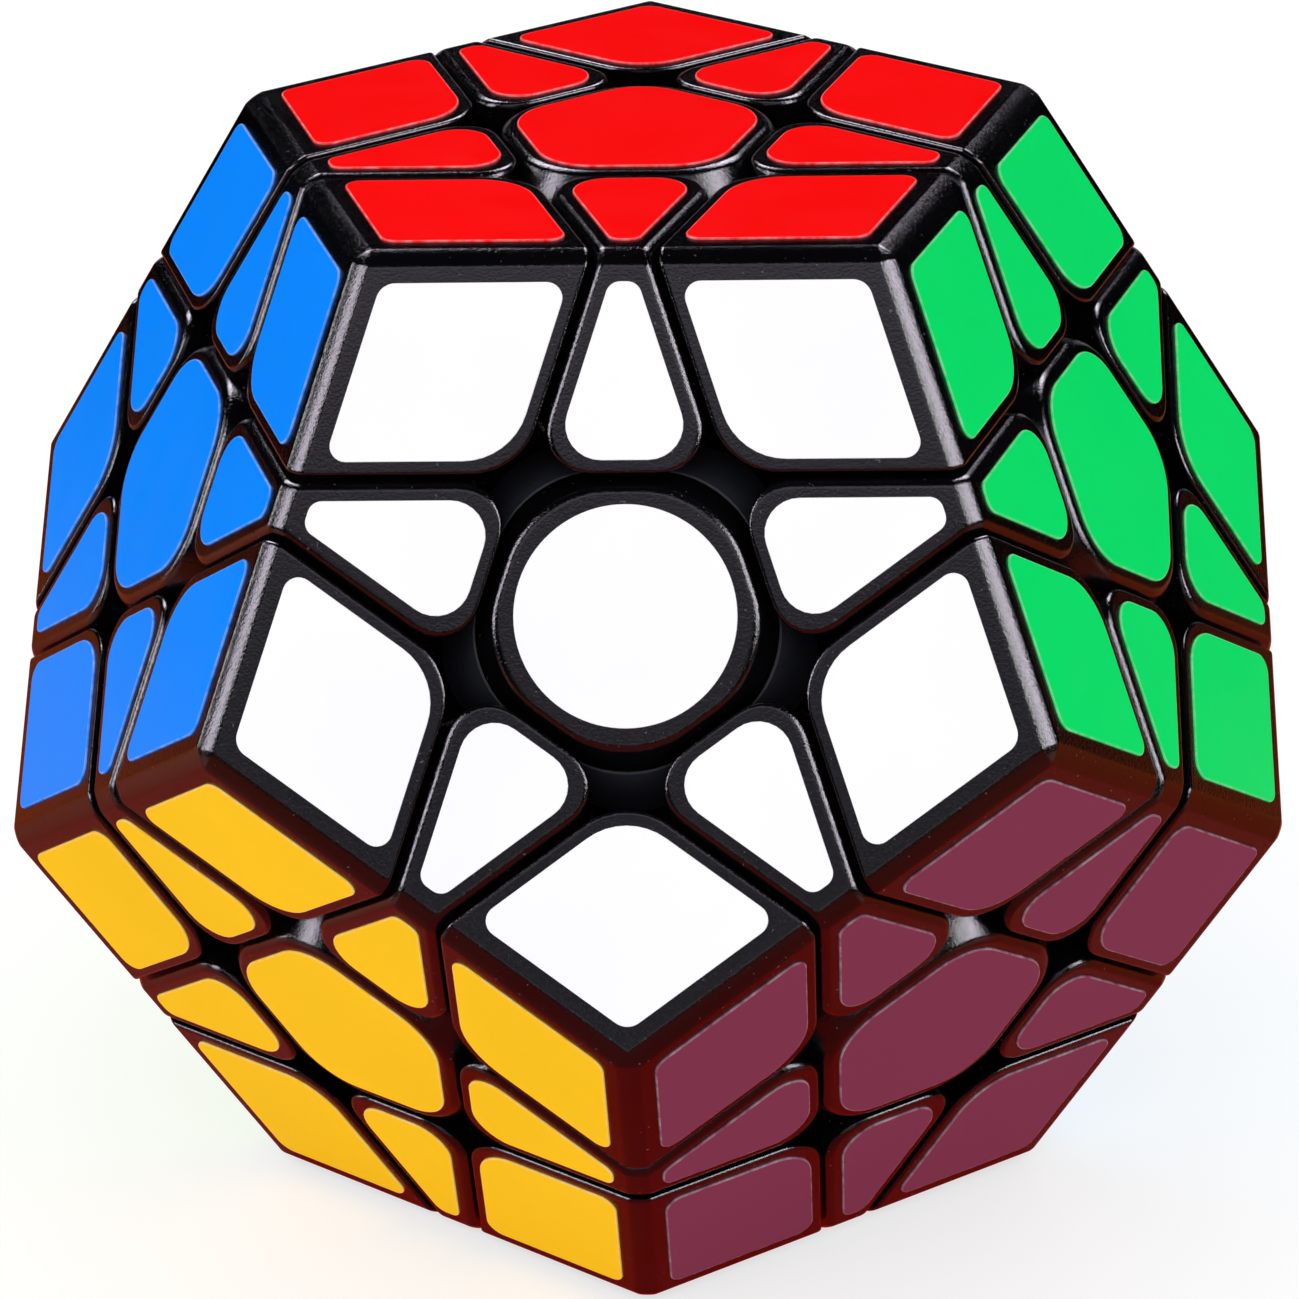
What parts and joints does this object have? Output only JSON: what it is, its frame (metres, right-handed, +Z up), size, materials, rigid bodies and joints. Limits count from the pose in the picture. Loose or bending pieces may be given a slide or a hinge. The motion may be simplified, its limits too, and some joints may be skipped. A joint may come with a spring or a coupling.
{
  "type": "dodecahedron twisty puzzle",
  "caption": "Dodecahedral twisty puzzle in black plastic with a differently coloured sticker set on each face; face layers turn about screws in a central core.",
  "frame": {"origin": "middle of the face the puzzle stands on; the puzzle's centre is 35 mm above it", "axes": "+Z up through the red face, -Y towards the viewer and the white face, +X towards the green face's side"},
  "size_m": [0.0814, 0.0856, 0.07],
  "materials": {
    "black_plastic": "glossy moulded",
    "core_plastic": "fine matt moulded",
    "screw_steel": "zinc plated",
    "spring_steel": "drawn wire",
    "sticker_white": "satin vinyl",
    "sticker_red": "satin vinyl",
    "sticker_green": "satin vinyl",
    "sticker_cream": "satin vinyl",
    "sticker_pink": "satin vinyl",
    "sticker_blue": "satin vinyl",
    "sticker_yellow": "satin vinyl",
    "sticker_purple": "satin vinyl",
    "sticker_sky": "satin vinyl",
    "sticker_grey": "satin vinyl",
    "sticker_lime": "satin vinyl",
    "sticker_orange": "satin vinyl"
  },
  "bodies": {
    "core_body": {"core": "core_plastic", "corner_blue_lime_yellow": "black_plastic", "corner_green_purple_sky": "black_plastic", "corner_pink_grey_lime": "black_plastic", "corner_pink_lime_blue": "black_plastic", "corner_red_pink_blue": "black_plastic", "edge_blue_lime": "black_plastic", "edge_blue_yellow": "black_plastic", "edge_green_purple": "black_plastic", "edge_green_sky": "black_plastic", "edge_grey_lime": "black_plastic", "edge_pink_blue": "black_plastic", "edge_pink_grey": "black_plastic", "edge_pink_lime": "black_plastic", "edge_purple_sky": "black_plastic", "edge_red_blue": "black_plastic", "edge_red_green": "black_plastic", "edge_red_pink": "black_plastic", "edge_sky_grey": "black_plastic", "edge_yellow_lime": "black_plastic", "edge_yellow_purple": "black_plastic", "screw_cream": "screw_steel", "screw_orange": "screw_steel", "screw_white": "screw_steel"},
    "white_layer": {"cap_white": "black_plastic", "corner_red_blue_white": "black_plastic", "corner_red_white_green": "black_plastic", "corner_white_blue_yellow": "black_plastic", "corner_white_purple_green": "black_plastic", "corner_white_yellow_purple": "black_plastic", "edge_red_white": "black_plastic", "edge_white_blue": "black_plastic", "edge_white_green": "black_plastic", "edge_white_purple": "black_plastic", "edge_white_yellow": "black_plastic", "hub_white": "black_plastic"},
    "cream_layer": {"cap_cream": "black_plastic", "corner_cream_grey_pink": "black_plastic", "corner_cream_sky_grey": "black_plastic", "corner_green_sky_cream": "black_plastic", "corner_red_cream_pink": "black_plastic", "corner_red_green_cream": "black_plastic", "edge_cream_grey": "black_plastic", "edge_cream_pink": "black_plastic", "edge_cream_sky": "black_plastic", "edge_green_cream": "black_plastic", "edge_red_cream": "black_plastic", "hub_cream": "black_plastic"},
    "orange_layer": {"cap_orange": "black_plastic", "corner_orange_grey_sky": "black_plastic", "corner_orange_lime_grey": "black_plastic", "corner_orange_purple_yellow": "black_plastic", "corner_orange_sky_purple": "black_plastic", "corner_orange_yellow_lime": "black_plastic", "edge_orange_grey": "black_plastic", "edge_orange_lime": "black_plastic", "edge_orange_purple": "black_plastic", "edge_orange_sky": "black_plastic", "edge_orange_yellow": "black_plastic", "hub_orange": "black_plastic"}
  },
  "joints": [
    {"name": "white_layer_turn", "type": "hinge", "parent": "core_body", "child": "white_layer", "pos_m": [0, 0, 0.035], "axis": [0, -0.8944, 0.4472], "continuous": true},
    {"name": "cream_layer_turn", "type": "hinge", "parent": "core_body", "child": "cream_layer", "pos_m": [0, 0, 0.035], "axis": [0.5257, 0.7236, 0.4472], "continuous": true},
    {"name": "orange_layer_turn", "type": "hinge", "parent": "core_body", "child": "orange_layer", "pos_m": [0, 0, 0.035], "axis": [0, 0, -1], "continuous": true}
  ]
}
